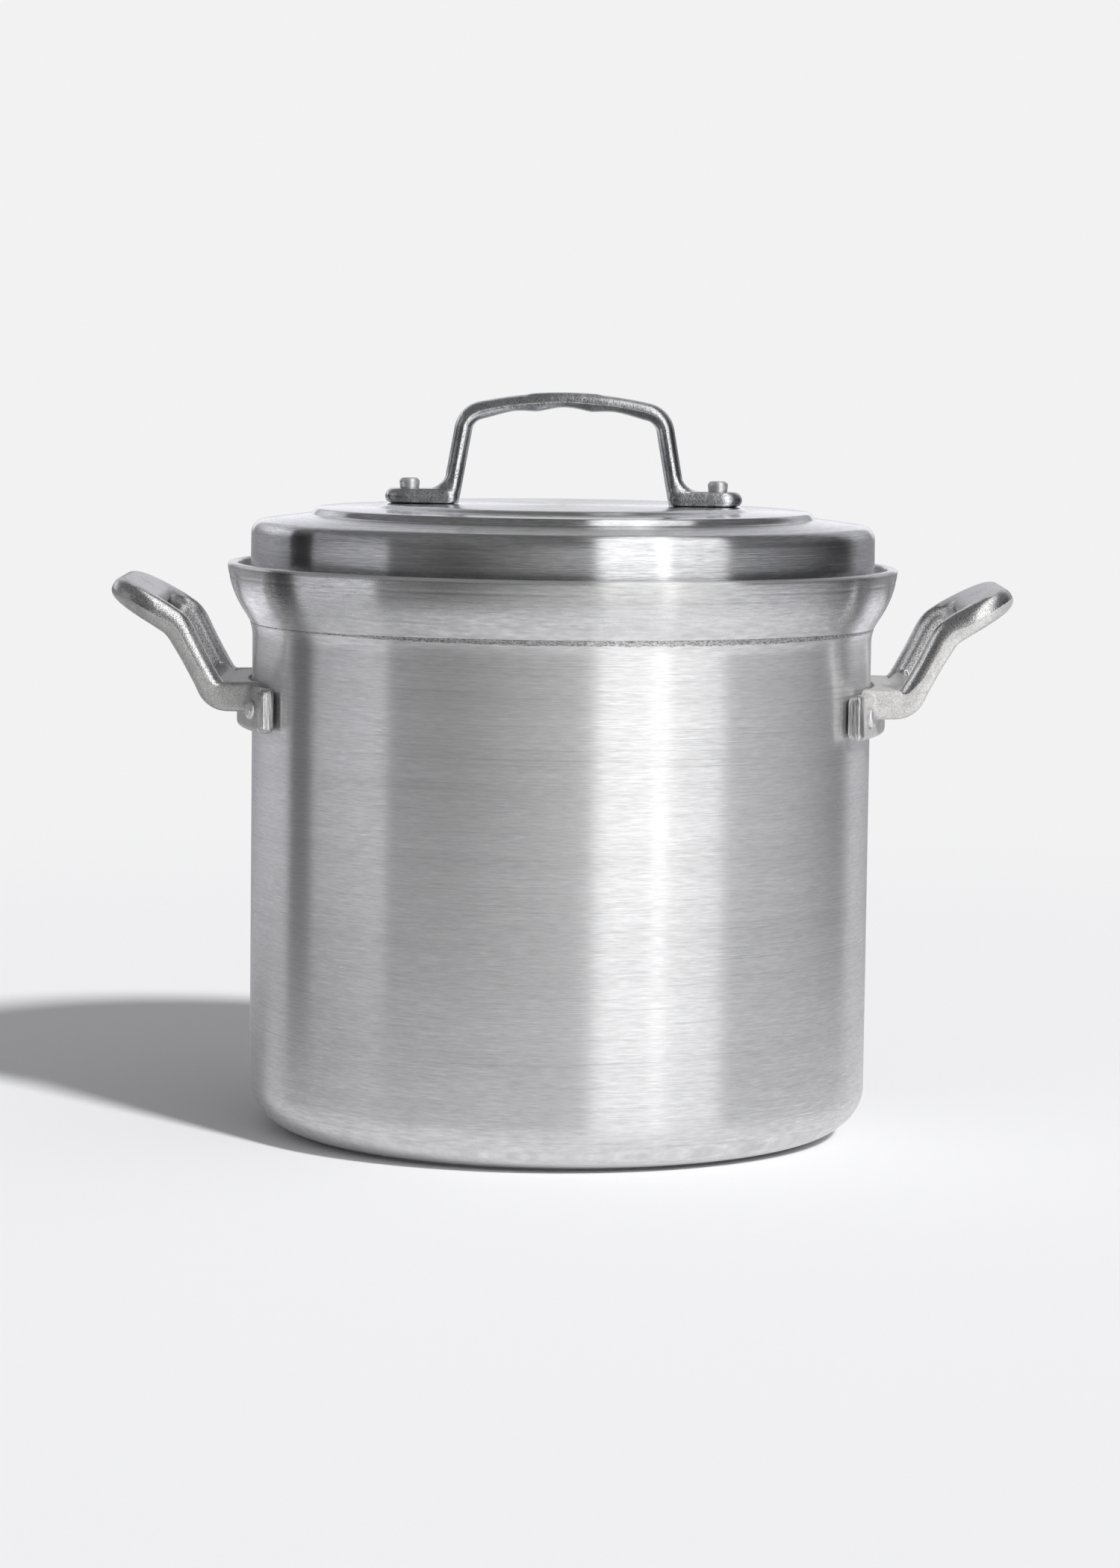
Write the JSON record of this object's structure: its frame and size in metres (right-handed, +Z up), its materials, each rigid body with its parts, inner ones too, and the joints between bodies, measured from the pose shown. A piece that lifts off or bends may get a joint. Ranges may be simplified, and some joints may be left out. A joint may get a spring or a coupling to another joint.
{
  "type": "stock pot",
  "caption": "Deep aluminium stock pot with a flared rim, a drop-in stepped lid with a riveted bow handle, and riveted cast loop handles on its sides.",
  "frame": {"origin": "centre of the flat base, on the pot's axis, at the height of the surface it stands on", "axes": "+Z up along the pot's axis, X through the two side handles (+X is the right handle when the pot is seen from -Y), -Y is the front"},
  "size_m": [0.3576, 0.268, 0.2961],
  "materials": {
    "brushed_aluminium": "lathe-brushed, fine circumferential lines",
    "lid_aluminium": "spun and lathe-brushed",
    "cast_aluminium": "sand-cast, upper half of each arm buffed bright",
    "polished_cast_aluminium": "cast, tumble-polished",
    "rivet_aluminium": "bright, slightly hammered"
  },
  "bodies": {
    "pot": {"pot_body": "brushed_aluminium", "left_handle": "cast_aluminium", "right_handle": "cast_aluminium", "rivet_left_front": "rivet_aluminium", "rivet_left_back": "rivet_aluminium", "rivet_right_front": "rivet_aluminium", "rivet_right_back": "rivet_aluminium"},
    "lid_assembly": {"lid": "lid_aluminium", "lid_handle": "polished_cast_aluminium", "lid_rivet_left": "rivet_aluminium", "lid_rivet_right": "rivet_aluminium"}
  },
  "joints": [
    {"name": "lid_lift", "type": "slide", "parent": "pot", "child": "lid_assembly", "axis": [0, 0, 1], "range_m": [0, 0.12]}
  ]
}
